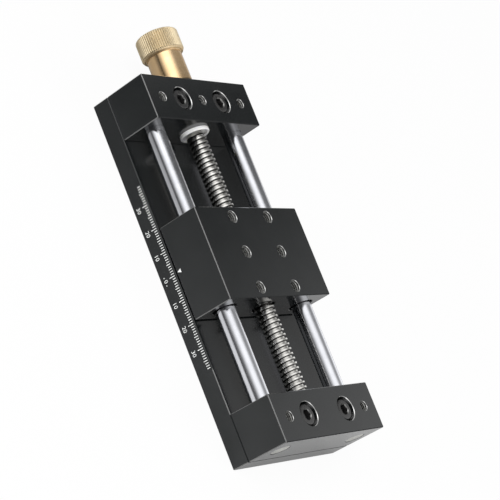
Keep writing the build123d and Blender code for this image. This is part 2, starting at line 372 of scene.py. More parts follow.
def bare_aluminium():
    """Freshly cut aluminium, grey and a little uneven."""
    finish, tree, shader = new_finish("bare_aluminium")
    streaks = mottle(tree, 0.4 * mm)
    shade = clouded(tree, streaks, (0.17, 0.17, 0.16), (0.33, 0.33, 0.32))
    fill_inputs(shader, {"Base Color": shade, "Roughness": spread(tree, streaks, 0.2, 0.34), "Metallic": 1})
    add_bump(shader, streaks, 0.01 * mm)
    return finish


def turning_lines(tree, size, along="X"):
    """Noise that runs round a piece in fine lines, as a tool leaves them."""
    line_stretch = 0.03
    stretch = [1 if axis == along else line_stretch for axis in "XYZ"]
    return mottle(tree, size, stretch, 3)


def metal(name, dark, light, smoothest, roughest, line_size, line_depth, along="X"):
    """A turned or ground metal, a little clouded, with its cutting lines in its gloss and relief."""
    finish, tree, shader = new_finish(name)
    lines = turning_lines(tree, line_size, along)
    shade = clouded(tree, mottle(tree, 5 * mm, detail=2), dark, light)
    dullness = spread(tree, lines, smoothest, roughest)
    fill_inputs(shader, {"Base Color": shade, "Roughness": dullness, "Metallic": 1})
    add_bump(shader, lines, line_depth)
    return finish


def add_turned(form, profile, base, along, steps=96, closed=False, material_index=0):
    """Adds a piece turned about a line to a form, from points of (distance along it, radius).

    A closed profile makes a ring. The ends of an open one lie on the line.
    """
    base = Vector(base)
    along = Vector(along)
    side = along.orthogonal().normalized()
    known = set(form.faces)
    verts = [form.verts.new(base + along * distance + side * radius) for distance, radius in profile]
    edges = [form.edges.new(pair) for pair in zip(verts, verts[1:])]
    if closed:
        edges.append(form.edges.new((verts[-1], verts[0])))
    spun = verts + edges
    bmesh.ops.spin(form, geom=spun, cent=base, axis=along, angle=full_turn, steps=steps, use_merge=True)
    bmesh.ops.remove_doubles(form, verts=form.verts, dist=same_spot)
    made = [face for face in form.faces if face not in known]
    for face in made:
        face.material_index = material_index
    bmesh.ops.recalc_face_normals(form, faces=made)


def add_hole(form, place, outward, depth, radius, edge_break, material_index=0, break_index=0):
    """Adds the drill of a hole, with the cone that breaks its edge, as one turned form."""
    known = set(form.faces)
    mouth = radius + edge_break + cutter_lift
    profile = ((cutter_lift, 0), (cutter_lift, mouth), (-edge_break, radius), (-depth, radius), (-depth, 0))
    add_turned(form, profile, place, outward, 64, material_index=material_index)
    for face in form.faces:
        on_cone = 0.3 < abs(face.normal.dot(Vector(outward))) < 0.9
        if on_cone and face not in known:
            face.material_index = break_index


def add_thread(form, section, start, along, pitch, turns, steps=36):
    """Adds a right-handed thread's ridge to a form, from points of (distance along it, radius).

    One turn is spun. Its copies stand end to end and are joined at their seams.
    """
    start = Vector(start)
    along = Vector(along)
    side = along.orthogonal().normalized()
    turn = bmesh.new()
    verts = [turn.verts.new(start + along * distance + side * radius) for distance, radius in section]
    edges = [turn.edges.new(pair) for pair in zip(verts, verts[1:] + verts[:1])]
    bmesh.ops.spin(
        turn,
        geom=verts + edges,
        cent=start,
        axis=along,
        dvec=along * pitch / steps,
        angle=full_turn,
        steps=steps,
    )
    ridge = bmesh.new()
    mesh = bpy.data.meshes.new("thread")
    for _ in range(turns):
        turn.to_mesh(mesh)
        ridge.from_mesh(mesh)
        bmesh.ops.translate(turn, verts=turn.verts, vec=along * pitch)
    turn.free()
    bmesh.ops.remove_doubles(ridge, verts=ridge.verts, dist=same_spot)
    ends = [edge for edge in ridge.edges if edge.is_boundary]
    bmesh.ops.holes_fill(ridge, edges=ends, sides=len(section))
    bmesh.ops.recalc_face_normals(ridge, faces=ridge.faces)
    ridge.to_mesh(mesh)
    ridge.free()
    form.from_mesh(mesh)
    bpy.data.meshes.remove(mesh)


def ridge_section(foot, crest, foot_radius, crest_radius):
    """The section of a thread's ridge, from half its width at the foot and at the crest."""
    return ((-foot, foot_radius), (foot, foot_radius), (crest, crest_radius), (-crest, crest_radius))


def inner_ridge(pitch, wall_radius, inner_radius):
    """The section of an internal thread's ridge, wide at the wall and narrow at the crest."""
    return ridge_section(0.43 * pitch, 0.11 * pitch, wall_radius, inner_radius)


def join_ridges(piece, ridges, material_index):
    """Adds a form of thread ridges to a piece, in one of its finishes."""
    bmesh.ops.scale(ridges, vec=(mm, mm, mm), verts=ridges.verts)
    bmesh.ops.recalc_face_normals(ridges, faces=ridges.faces)
    for face in ridges.faces:
        face.material_index = material_index
        face.smooth = True
    ridge_mesh = bpy.data.meshes.new("ridges")
    ridges.to_mesh(ridge_mesh)
    ridges.free()
    form = bmesh.new()
    form.from_mesh(piece.data)
    form.from_mesh(ridge_mesh)
    form.to_mesh(piece.data)
    form.free()
    bpy.data.meshes.remove(ridge_mesh)
    piece.data.set_sharp_from_angle(angle=cut_smooth_below)


bare = bare_aluminium()
bright_cut = metal(
    "bright_cut_aluminium", (0.62, 0.62, 0.61), (0.78, 0.78, 0.77), 0.14, 0.24, 0.2 * mm, 0.001 * mm, "Z"
)
wall_skin = 0.012
block_low, block_high = (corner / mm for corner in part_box("knob_end_block"))
block_top = block_high.z
axis_z = (block_high.z + block_low.z) / 2
block_length = block_high.x - block_low.x
rod_y = 25.0
rod_bore_radius = 4.01
bush_seat_radius = 5.01
set_hole_radius = 2.02
set_thread_pitch = 0.7
set_thread_inner_radius = 1.71
set_screw_top_z = 24.5
lock_screw_top_z = 25.8
counterbore_break = 0.22
hole_break = 0.15
thread_run_out = 0.45
outer_faces = {"knob_end_block": (-1, 0, 0), "far_end_block": (1, 0, 0)}
for node, outward in outer_faces.items():
    outward = Vector(outward)
    middle = Vector((outward.x * cap_screw_x, 0, 0))
    outer_face = middle + outward * block_length / 2
    inner_face = middle - outward * block_length / 2
    cuts = bmesh.new()
    ridges = bmesh.new()
    for y in (-cap_screw_y, cap_screw_y):
        break_edge(cuts, (middle.x, y, block_top), up, counterbore_radius, counterbore_break, 2)
    for y in (-rod_y, rod_y):
        break_edge(cuts, (outer_face.x, y, axis_z), outward, rod_bore_radius, hole_break)
        break_edge(cuts, (inner_face.x, y, axis_z), -outward, rod_bore_radius, hole_break)
    screw_places = [(-rod_y, set_screw_top_z), (rod_y, set_screw_top_z)]
    if node == "knob_end_block":
        screw_places.append((0, lock_screw_top_z))
    for y, screw_top_z in screw_places:
        top = Vector((middle.x, y, block_top))
        depth = block_top - screw_top_z
        add_hole(cuts, top, up, depth, set_hole_radius + wall_skin, hole_break, 1, 2)
        section = inner_ridge(set_thread_pitch, set_hole_radius + 2 * wall_skin, set_thread_inner_radius)
        turns = round((depth - thread_run_out) / set_thread_pitch)
        start = top - Vector(up) * (thread_run_out + turns * set_thread_pitch)
        add_thread(ridges, section, start, up, set_thread_pitch, turns)
    end_block = machined_copy(node, "machined_" + node, cuts, [anodised, bare, bright_cut])
    join_ridges(end_block, ridges, 1)
    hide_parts(node)
    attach(end_block, "frame")


# Guide rods. Hardened steel shafts, centreless ground and hard chromed, clamped in the end blocks.
# Each stops just inside the blocks' outer faces, with its ends chamfered.


def rounding(distance, radius, turn_radius, first, last, steps=6):
    """Points of a round corner, about a centre at (distance, radius), from one angle to another.

    At 0 degrees the surface faces away from the line, and at 90 degrees along it.
    """
    points = []
    for step in range(steps + 1):
        angle = math.radians(first + (last - first) * step / steps)
        points.append((distance + turn_radius * math.sin(angle), radius + turn_radius * math.cos(angle)))
    return points


def chamfered(length, radius, chamfer):
    """Points along a bar's outside, with a chamfer at each end."""
    return (0, radius - chamfer), (chamfer, radius), (length - chamfer, radius), (length, radius - chamfer)


along_x = (1, 0, 0)
rod_chamfer = 0.3
hard_chrome = metal("hard_chrome", (0.74, 0.75, 0.79), (0.82, 0.83, 0.87), 0.1, 0.17, 0.07 * mm, 0.0012 * mm)
faced_steel = metal("faced_steel", (0.34, 0.34, 0.32), (0.56, 0.56, 0.52), 0.26, 0.42, 0.3 * mm, 0.006 * mm)
for node in ("front_guide_rod", "rear_guide_rod"):
    rod_low, rod_high = (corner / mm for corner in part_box(node))
    rod_middle = (rod_low + rod_high) / 2
    rod_radius = (rod_high.z - rod_low.z) / 2
    rod_length = rod_high.x - rod_low.x
    rod = bmesh.new()
    profile = ((0, 0), *chamfered(rod_length, rod_radius, rod_chamfer), (rod_length, 0))
    add_turned(rod, profile, (rod_low.x, rod_middle.y, rod_middle.z), along_x, 128)
    for face in rod.faces:
        face.material_index = 1 if abs(face.normal.x) > 0.9 else 0
    guide_rod = piece_from("ground_" + node, rod, [hard_chrome, faced_steel])
    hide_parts(node)
    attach(guide_rod, "frame")


# Cap screws. M5 socket head screws of blackened steel, forged and rolled, sunk in the counterbores.
# Each head has a rounded top edge and a hexagon socket.


def black_oxide():
    """Blackened steel with a slight oily gloss."""
    finish, tree, shader = new_finish("black_oxide")
    patches = mottle(tree, 1.2 * mm)
    shade = clouded(tree, patches, (0.009, 0.009, 0.0095), (0.02, 0.0195, 0.019))
    dullness = spread(tree, patches, 0.24, 0.36)
    fill_inputs(shader, {"Base Color": shade, "Roughness": dullness, "Specular IOR Level": 0.5})
    add_bump(shader, mottle(tree, 0.1 * mm), 0.004 * mm)
    return finish


def cut_hex_sockets(piece, places, outward, width, depth, mouth_break):
    """Cuts hexagon sockets in a piece, their coned mouths in its second finish.

    Each has a coned mouth that ends a little inside the flats, and a drilled bottom a little narrower.
    """
    mouth_share = 0.95
    drill_share = 0.9
    corner_radius = width / 2 / math.cos(math.radians(30))
    mouth_radius = corner_radius + mouth_break
    mouth_depth = mouth_radius - mouth_share * width / 2
    drill_radius = drill_share * width / 2
    drill_depth = depth + drill_radius * math.tan(math.radians(30))
    drill = ((cutter_lift, 0), (cutter_lift, drill_radius), (-depth, drill_radius), (-drill_depth, 0))
    mouths = bmesh.new()
    hexagons = bmesh.new()
    drills = bmesh.new()
    for place in places:
        add_cone(mouths, place, outward, mouth_depth, mouth_radius - mouth_depth, mouth_radius, 48, 1)
        add_cone(hexagons, place, outward, depth, corner_radius, corner_radius, 6)
        add_turned(drills, drill, place, outward, 32)
    for cutters in (mouths, hexagons, drills):
        cut_away(piece, cutters)


blackened = black_oxide()
rubbed_steel = metal("rubbed_steel", (0.15, 0.15, 0.15), (0.3, 0.3, 0.29), 0.2, 0.34, 0.1 * mm, 0.002 * mm)
head_radius = 4.25
head_height = 5.0
top_rounding = 0.55
foot_rounding = 0.15
shank_radius = 2.5
shank_tip_chamfer = 0.7
socket_width = 4.0
socket_depth = 2.5
socket_break = 0.12
for node in ("knob_block_screws", "far_block_screws"):
    screws_low, screws_high = (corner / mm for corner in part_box(node))
    screw_x = (screws_low.x + screws_high.x) / 2
    screw_length = screws_high.z - screws_low.z
    head_foot = screw_length - head_height
    screws = bmesh.new()
    socket_places = []
    for y in (-cap_screw_y, cap_screw_y):
        profile = [
            (0, 0),
            (0, shank_radius - shank_tip_chamfer),
            (shank_tip_chamfer, shank_radius),
            (head_foot, shank_radius),
            *rounding(head_foot + foot_rounding, head_radius - foot_rounding, foot_rounding, -90, 0, 3),
            *rounding(screw_length - top_rounding, head_radius - top_rounding, top_rounding, 0, 90),
            (screw_length, 0),
        ]
        add_turned(screws, profile, (screw_x, y, screws_low.z), up)
        socket_places.append((screw_x, y, screws_high.z))
    cap_screws = piece_from("forged_" + node, screws, [blackened, rubbed_steel])
    cut_hex_sockets(cap_screws, socket_places, up, socket_width, socket_depth, socket_break)
    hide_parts(node)
    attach(cap_screws, "frame")


# Set screws. M4 grub screws of blackened steel with a hexagon socket in one end and a cup in the other.
# Four clamp the rods, one stands over the screw's journal, one holds the nut and one the knob.
set_screw_radius = 2.0
set_tip_chamfer = 0.6
set_end_chamfer = 0.3
cup_radius = 0.9
cup_depth = 0.4
set_socket_width = 2.0
set_socket_depth = 1.6
set_socket_break = 0.06
set_screw_places = {
    "knob_block_set_screws": ([-rod_y, rod_y], up, "frame"),
    "far_block_set_screws": ([-rod_y, rod_y], up, "frame"),
    "screw_lock_set_screw": ([0], up, "frame"),
    "nut_set_screw": ([0], down, "carriage"),
    "knob_set_screw": ([0], down, "screw"),
}
for node, (places, outward, body) in set_screw_places.items():
    screws_low, screws_high = (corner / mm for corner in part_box(node))
    screw_x = (screws_low.x + screws_high.x) / 2
    screw_length = screws_high.z - screws_low.z
    tip_z, end_z = (screws_low.z, screws_high.z) if outward == up else (screws_high.z, screws_low.z)
    profile = (
        (cup_depth, 0),
        (0, cup_radius),
        (0, set_screw_radius - set_tip_chamfer),
        (set_tip_chamfer, set_screw_radius),
        (screw_length - set_end_chamfer, set_screw_radius),
        (screw_length, set_screw_radius - set_end_chamfer),
        (screw_length, 0),
    )
    screws = bmesh.new()
    for y in places:
        add_turned(screws, profile, (screw_x, y, tip_z), outward, 64)
    set_screws = piece_from("socketed_" + node, screws, [blackened, rubbed_steel])
    socket_places = [(screw_x, y, end_z) for y in places]
    cut_hex_sockets(set_screws, socket_places, outward, set_socket_width, set_socket_depth, set_socket_break)
    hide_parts(node)
    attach(set_screws, body)


# Flanged bushes. Two rings turned from white acetal, pushed into the knob block from both faces.
# Their flanges take the screw's thrust.


def white_acetal():
    """White acetal with a dull sheen and fine tool lines."""
    finish, tree, shader = new_finish("white_acetal")
    lines = turning_lines(tree, 0.12 * mm)
    inputs = {
        "Base Color": clouded(tree, mottle(tree, 2 * mm), (0.92, 0.92, 0.91), (0.96, 0.96, 0.95)),
        "Roughness": spread(tree, lines, 0.34, 0.46),
        "Subsurface Weight": 0.15,
        "Subsurface Radius": (0.6, 0.6, 0.5),
        "Subsurface Scale": 0.6 * mm,
    }
    fill_inputs(shader, inputs)
    add_bump(shader, lines, 0.004 * mm)
    return finish


acetal = white_acetal()
journal_bore_radius = 3.05
bush_radius = 5.0
flange_thickness = 1.4
flange_chamfer = 0.25
dish_radius = 5.3
dish_depth = 0.8
bush_chamfer = 0.3
for node, along in (("inner_flanged_bush", (-1, 0, 0)), ("outer_flanged_bush", (1, 0, 0))):
    bush_low, bush_high = (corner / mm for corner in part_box(node))
    flange_radius = (bush_high.y - bush_low.y) / 2
    bush_length = bush_high.x - bush_low.x
    flange_x = bush_high.x if along[0] < 0 else bush_low.x
    profile = (
        (dish_depth, journal_bore_radius + bush_chamfer),
        (dish_depth, dish_radius),
        (0, dish_radius),
        (0, flange_radius - flange_chamfer),
        (flange_chamfer, flange_radius),
        (flange_thickness, flange_radius),
        (flange_thickness, bush_radius),
        (bush_length - bush_chamfer, bush_radius),
        (bush_length, bush_radius - bush_chamfer),
        (bush_length, journal_bore_radius),
        (dish_depth + bush_chamfer, journal_bore_radius),
    )
    bush = bmesh.new()
    add_turned(bush, profile, (flange_x, 0, axis_z), along, closed=True)
    flanged_bush = piece_from("turned_" + node, bush, [acetal])
    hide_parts(node)
    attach(flanged_bush, "frame")


# Plain bushes. A sintered bronze one in the far block for the screw's journal, and four thin-walled
# ones of lined steel strip, pressed into the carriage's bores a little way in, that run on the rods.


def ring_profile(length, outer_radius, bore_radius, chamfer):
    """Points round the section of a plain ring, with its edges chamfered."""
    return (
        (0, bore_radius + chamfer),
        *chamfered(length, outer_radius, chamfer),
        (length, bore_radius + chamfer),
        (length - chamfer, bore_radius),
        (chamfer, bore_radius),
    )


bronze = metal("sintered_bronze", (0.36, 0.22, 0.1), (0.5, 0.33, 0.17), 0.38, 0.5, 0.1 * mm, 0.006 * mm)
lined_steel = metal("lined_steel", (0.16, 0.155, 0.15), (0.26, 0.25, 0.24), 0.36, 0.5, 0.2 * mm, 0.006 * mm)
rod_running_radius = 4.05
plain_bushes = {"far_end_bush": (journal_bore_radius, bronze, "frame", "bronze")}
for node in ("front_bush_knob_side", "front_bush_far_side", "rear_bush_knob_side", "rear_bush_far_side"):
    plain_bushes[node] = (rod_running_radius, lined_steel, "carriage", "bush_steel")
plain_bush_chamfer = 0.2
for node, (bore_radius, finish, body, slot) in plain_bushes.items():
    bush_low, bush_high = (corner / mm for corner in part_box(node))
    bush_middle = (bush_low + bush_high) / 2
    outer_radius = (bush_high.z - bush_low.z) / 2
    profile = ring_profile(bush_high.x - bush_low.x, outer_radius, bore_radius, plain_bush_chamfer)
    bush = bmesh.new()
    add_turned(bush, profile, (bush_low.x, bush_middle.y, bush_middle.z), along_x, closed=True)
    plain_bush = piece_from("plain_" + node, bush, [finish])
    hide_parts(node)
    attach(plain_bush, body)


# Carriage. One milled block of black anodised aluminium. Its six top holes are tapped after the
# anodising. Its front face has a small engraved and painted pointer for the scale.


def add_prism(form, outline, front, depth, material_index):
    """Adds an upright outline of (x, z) points to a form, from in front of a face to a depth in it."""
    face = form.faces.new([form.verts.new((x, front - cutter_lift, z)) for x, z in outline])
    grown = bmesh.ops.extrude_face_region(form, geom=[face], use_keep_orig=True)
    moved = [part for part in grown["geom"] if isinstance(part, bmesh.types.BMVert)]
    bmesh.ops.translate(form, verts=moved, vec=(0, cutter_lift + depth, 0))
    prism = [*face.verts, *moved]
    set_finish(prism, material_index)
    bmesh.ops.recalc_face_normals(form, faces=list({f for vert in prism for f in vert.link_faces}))


carriage_low, carriage_high = (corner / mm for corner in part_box("carriage_block"))
carriage_front = carriage_low.y
carriage_top = carriage_high.z
carriage_hole_radius = 2.5
carriage_hole_depth = 10.0
carriage_hole_break = 0.16
carriage_thread_pitch = 0.8
carriage_thread_turns = 10
carriage_thread_inner_radius = 2.15
nut_seat_radius = 7.01
screw_clearance_radius = 5.0
mark_depth = 0.08
mark_x = -0.5
pointer_half = 0.8
pointer_top = 10.9
pointer_tip = 9.05
cuts = bmesh.new()
ridges = bmesh.new()
for x in (-mount_hole_x, 0, mount_hole_x):
    for y in (-mount_hole_y, mount_hole_y):
        top = Vector((x, y, carriage_top))
        wall_radius = carriage_hole_radius + wall_skin
        add_hole(cuts, top, up, carriage_hole_depth - wall_skin, wall_radius, carriage_hole_break, 1, 3)
        section = inner_ridge(carriage_thread_pitch, wall_radius + wall_skin, carriage_thread_inner_radius)
        start = top - Vector(up) * (thread_run_out + carriage_thread_turns * carriage_thread_pitch)
        add_thread(ridges, section, start, up, carriage_thread_pitch, carriage_thread_turns)
for outward in (Vector((-1, 0, 0)), Vector((1, 0, 0))):
    face_x = outward.x * (carriage_high.x - carriage_low.x) / 2
    for y in (-rod_y, rod_y):
        break_edge(cuts, (face_x, y, axis_z), outward, bush_seat_radius, hole_break)
    screw_mouth_radius = nut_seat_radius if outward.x < 0 else screw_clearance_radius
    break_edge(cuts, (face_x, 0, axis_z), outward, screw_mouth_radius, hole_break)
pointer = ((mark_x - pointer_half, pointer_top), (mark_x, pointer_tip), (mark_x + pointer_half, pointer_top))
add_prism(cuts, pointer, carriage_front, mark_depth, 2)
carriage = machined_copy("carriage_block", "machined_carriage", cuts, [anodised, bare, paint, bright_cut])
join_ridges(carriage, ridges, 1)
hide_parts("carriage_block")
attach(carriage, "carriage")


# Lead nut. A plain brass sleeve in the carriage, held from below by its set screw.
# Only its end shows, from the knob's side.
turned_brass = metal("turned_brass", (0.9, 0.62, 0.33), (0.96, 0.7, 0.42), 0.12, 0.22, 0.1 * mm, 0.001 * mm)
nut_low, nut_high = (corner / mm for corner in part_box("lead_nut"))
nut_radius = (nut_high.y - nut_low.y) / 2
nut_bore_radius = 4.05
nut_chamfer = 0.4
profile = ring_profile(nut_high.x - nut_low.x, nut_radius, nut_bore_radius, nut_chamfer)
nut = bmesh.new()
add_turned(nut, profile, (nut_low.x, 0, axis_z), along_x, closed=True)
nut_dimple = bmesh.new()
nut_screw_low, nut_screw_high = (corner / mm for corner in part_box("nut_set_screw"))
dimple_x = (nut_screw_low.x + nut_screw_high.x) / 2
dimple_depth = 1.5
dimple_place = (dimple_x, 0, axis_z - nut_radius)
add_cone(nut_dimple, dimple_place, down, dimple_depth, set_hole_radius, set_hole_radius)
lead_nut = piece_from("turned_lead_nut", nut, [turned_brass])
cut_away(lead_nut, nut_dimple)
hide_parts("lead_nut")
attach(lead_nut, "carriage")


# Lead screw. Stainless bar with a rolled right-handed thread of 2 mm pitch, flat on its crests and roots.
# Its ends are turned down to journals, and the thread's first and last turns run out on a chamfer.


def radius_about(tree, line_z):
    """The distance from a line along X at a height."""
    spot = axis_parts(tree, "Object")
    rise = calculated(tree, "SUBTRACT", spot["Z"], line_z)
    squares = times(tree, rise, rise)
    squares = calculated(tree, "MULTIPLY_ADD", spot["Y"], spot["Y"], squares)
    return calculated(tree, "SQRT", squares)


def rolled_stainless(line_z, crest_radius, depth):
    """Rolled stainless steel, bright on the thread's crests, with painted shade in its roots.

    Its flanks carry a darker painted shade, standing in for the dark they reflect.
    """
    steep = (0.4, 0.8)
    finish = metal(
        "rolled_stainless", (0.7, 0.69, 0.66), (0.84, 0.83, 0.8), 0.14, 0.26, 0.1 * mm, 0.0015 * mm
    )
    tree = finish.node_tree
    radius = radius_about(tree, line_z)
    painted_root_shade = spread(tree, radius, 0.4, 0, crest_radius - 0.9 * depth, crest_radius - 0.3 * depth)
    # Painted shade: the thread's roots are darkened by their distance from the axis.
    stain(tree, painted_root_shade, (0.36, 0.35, 0.33))
    slope = calculated(tree, "ABSOLUTE", axis_parts(tree, "Normal")["X"])
    # Painted shade: the steep flanks are darkened, for the dark they reflect.
    stain(tree, spread(tree, slope, 0, 0.85, *steep), (0.1, 0.096, 0.09))
    return finish


screw_low, screw_high = (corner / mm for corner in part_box("lead_screw"))
thread_radius = (screw_high.y - screw_low.y) / 2
thread_pitch = 2.0
thread_gap = 0.05
thread_start_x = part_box("inner_flanged_bush")[1].x / mm + thread_gap
thread_end_x = 56.3
thread_depth = 0.9
stainless = rolled_stainless(axis_z * mm, thread_radius * mm, thread_depth * mm)
core_radius = thread_radius - thread_depth
journal_radius = 3.0
journal_chamfer = 0.4
ridge_foot = 0.66
ridge_crest = 0.32
ridge_sink = 0.06
run_out_slope = 2.5
core = bmesh.new()
profile = [
    (screw_low.x, 0),
    (screw_low.x, journal_radius - journal_chamfer),
    (screw_low.x + journal_chamfer, journal_radius),
    (thread_start_x, journal_radius),
    (thread_start_x, core_radius),
    (thread_end_x, core_radius),
    (thread_end_x, journal_radius),
    (screw_high.x - journal_chamfer, journal_radius),
    (screw_high.x, journal_radius - journal_chamfer),
    (screw_high.x, 0),
]
screw_origin = Vector((0, 0, axis_z))
add_turned(core, profile, screw_origin, along_x)
ridge = bmesh.new()
section = ridge_section(ridge_foot, ridge_crest, core_radius - ridge_sink, thread_radius)
ridge_start = Vector((thread_start_x - thread_pitch, 0, axis_z))
ridge_turns = math.ceil((thread_end_x - thread_start_x) / thread_pitch) + 2
add_thread(ridge, section, ridge_start, along_x, thread_pitch, ridge_turns, 48)
for plane_x, away in ((thread_start_x, -1), (thread_end_x, 1)):
    cut = bmesh.ops.bisect_plane(
        ridge,
        geom=[*ridge.verts, *ridge.edges, *ridge.faces],
        plane_co=(plane_x, 0, axis_z),
        plane_no=(away, 0, 0),
        clear_outer=True,
    )
    rim = [part for part in cut["geom_cut"] if isinstance(part, bmesh.types.BMEdge)]
    bmesh.ops.holes_fill(ridge, edges=rim, sides=0)
for vert in ridge.verts:
    from_end = min(vert.co.x - thread_start_x, thread_end_x - vert.co.x)
    allowed = core_radius + run_out_slope * max(from_end, 0)
    offset = vert.co - Vector((vert.co.x, 0, axis_z))
    if offset.length > allowed:
        vert.co = vert.co - offset * (1 - allowed / offset.length)
bmesh.ops.recalc_face_normals(ridge, faces=ridge.faces)
lead_screw = piece_from("threaded_lead_screw", core, [stainless])
join_ridges(lead_screw, ridge, 0)
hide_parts("lead_screw")
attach(lead_screw, "screw")


# Knob. Turned from brass bar, with a straight-knurled head on a long smooth shank.
# The knurl stops short of a smooth rim. A set screw in the shank's underside holds it on the journal.


def knurled(line_z, crest_radius, depth):
    """Brass with bright crests and painted shade in the knurl's roots."""
    finish = metal("knurled_brass", (0.82, 0.68, 0.45), (0.9, 0.77, 0.54), 0.4, 0.5, 2.5 * mm, 0.0005 * mm)
    tree = finish.node_tree
    radius = radius_about(tree, line_z)
    dirt_and_shade = spread(tree, radius, 0.45, 0, crest_radius - 0.8 * depth, crest_radius - 0.1 * depth)
    # Painted shade: the knurl's roots are darkened by their distance from the axis.
    stain(tree, dirt_and_shade, (0.55, 0.43, 0.26))
    return finish


knob_low, knob_high = (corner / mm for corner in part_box("knob"))
head_outer_radius = (knob_high.y - knob_low.y) / 2
shank_outer_radius = 7.25
shank_length = 13.8
shoulder_x = knob_high.x - shank_length
head_rounding = 0.9
rim_width = 0.7
rim_drop = 0.4
rim_chamfer = 0.35
fillet = 0.2
shank_end_chamfer = 0.4
knurl_depth = 0.3
tooth_count = 60
tooth_shape = (0, 0, 0.5, 1, 1, 0.5)
faced_brass = metal("faced_brass", (0.88, 0.7, 0.44), (0.95, 0.79, 0.54), 0.5, 0.62, 0.3 * mm, 0.002 * mm)
knurled_brass = knurled(axis_z * mm, head_outer_radius * mm, knurl_depth * mm)
knob_bore_depth = 17.0
knob_bore_radius = 3.01
knob_bore_chamfer = 0.3
rim_x = shoulder_x - rim_width
rim_radius = head_outer_radius - rim_drop
rows = [
    *rounding(knob_low.x + head_rounding, head_outer_radius - head_rounding, head_rounding, -90, 0),
    (rim_x - knurl_depth, head_outer_radius),
    (rim_x, head_outer_radius - knurl_depth),
    (rim_x, rim_radius),
    (shoulder_x - rim_chamfer, rim_radius),
    (shoulder_x, rim_radius - rim_chamfer),
    (shoulder_x, shank_outer_radius + fillet),
    (shoulder_x + fillet, shank_outer_radius),
    (knob_high.x - shank_end_chamfer, shank_outer_radius),
    (knob_high.x, shank_outer_radius - shank_end_chamfer),
    (knob_high.x, knob_bore_radius + knob_bore_chamfer),
    (knob_high.x - knob_bore_chamfer, knob_bore_radius),
    (knob_high.x - knob_bore_depth, knob_bore_radius),
]
point_count = tooth_count * len(tooth_shape)
knob_form = bmesh.new()
row_place = Matrix.Translation((rows[0][0], 0, axis_z)) @ Matrix.Rotation(math.radians(90), 4, "Y")
bmesh.ops.create_circle(knob_form, cap_ends=True, segments=point_count, radius=rows[0][1], matrix=row_place)
ring_edges = list(knob_form.edges)
for x, radius in rows[1:]:
    grown = bmesh.ops.extrude_edge_only(knob_form, edges=ring_edges)["geom"]
    ring_edges = [part for part in grown if isinstance(part, bmesh.types.BMEdge)]
    ring_verts = {part for part in grown if isinstance(part, bmesh.types.BMVert)}
    ring_edges = [edge for edge in ring_edges if all(vert in ring_verts for vert in edge.verts)]
    for vert in ring_verts:
        angle = math.atan2(vert.co.y, vert.co.z - axis_z)
        point = round(angle / full_turn * point_count) % len(tooth_shape)
        reach = radius
        if x < rim_x:
            reach = min(radius, head_outer_radius - knurl_depth * tooth_shape[point])
        vert.co = (x, reach * math.sin(angle), axis_z + reach * math.cos(angle))
bmesh.ops.edgeloop_fill(knob_form, edges=ring_edges)
bmesh.ops.recalc_face_normals(knob_form, faces=knob_form.faces)
for face in knob_form.faces:
    middle = face.calc_center_median()
    if middle.x < rim_x:
        face.material_index = 1
    elif middle.x < shoulder_x + fillet:
        face.material_index = 2
knob = piece_from("knurled_knob", knob_form, [turned_brass, knurled_brass, faced_brass])
knob_screw_low, knob_screw_high = (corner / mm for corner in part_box("knob_set_screw"))
knob_set_screw_x = (knob_screw_low.x + knob_screw_high.x) / 2
set_hole_mouth = (knob_set_screw_x, 0, axis_z - shank_outer_radius)
set_hole_depth = shank_outer_radius - journal_radius / 2
knob_cuts = bmesh.new()
add_hole(knob_cuts, set_hole_mouth, down, set_hole_depth, set_hole_radius, hole_break)
cut_away(knob, knob_cuts)
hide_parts("knob")
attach(knob, "screw")


# Studio. A pale floor, clear from below, whose mirror image darkens to the front, and a white backdrop.
# The lamps light the dull faces. Polished metal sees the world instead: a slanting soft box that rises
# from the front and ends overhead, a brighter lamp at the knob's side, and a bright wall behind.


def soft_step(tree, value, start, end, rise):
    """A smooth step from 0 to rise between two values."""
    return spread(tree, value, 0, rise, start, end, "SMOOTHSTEP")


floor_mesh = bpy.data.meshes.new("studio_floor")
floor_form = bmesh.new()
floor_height = 0.02
floor_place = Matrix.Translation((0, 0, floor_height * mm))
bmesh.ops.create_grid(floor_form, x_segments=1, y_segments=1, size=3, matrix=floor_place)
floor_form.to_mesh(floor_mesh)
floor_form.free()
floor = bpy.data.objects.new("studio_floor", floor_mesh)
bpy.context.scene.collection.objects.link(floor)
floor_finish, tree, shader = new_finish("studio_floor")
floor_mesh.materials.append(floor_finish)
floor_white = (0.8, 0.8, 0.8)
floor_dark = (0.07, 0.07, 0.07)
front_fade = (0.045, 0.14)
block_fade = (0.03, 0.055)
knob_fade = (-0.05, 0.1)
block_share = 0.48
beside_share = 0.28
glow_share = 0.94
spot = axis_parts(tree, "Object")
to_front = times(tree, spot["Y"], -1)
to_knob = times(tree, spot["X"], -1)
front_light = rest_of(tree, soft_step(tree, to_front, *front_fade, 1))
beside_block = calculated(tree, "ADD", soft_step(tree, to_front, *block_fade, beside_share), block_share)
by_knob = times(tree, soft_step(tree, to_knob, *knob_fade, 1), beside_block)
knob_light = rest_of(tree, by_knob)
fade = rest_of(tree, times(tree, front_light, knob_light))
ray = tree.nodes.new("ShaderNodeLightPath").outputs
seen_fade = times(tree, fade, ray["Is Glossy Ray"])
floor_shade = mixed_colour(tree, seen_fade, floor_white, floor_dark)
fill_inputs(shader, {"Base Color": floor_shade, "Roughness": 0.9, "Specular IOR Level": 0})
glow = tree.nodes.new("ShaderNodeEmission").outputs["Emission"]
seen_glow = times(tree, ray["Is Camera Ray"], glow_share)
above = add_node(tree, "MixShader", {"Fac": seen_glow, 1: shader.outputs["BSDF"], 2: glow}).outputs["Shader"]
below = tree.nodes.new("ShaderNodeBsdfTransparent").outputs["BSDF"]
from_below = tree.nodes.new("ShaderNodeNewGeometry").outputs["Backfacing"]
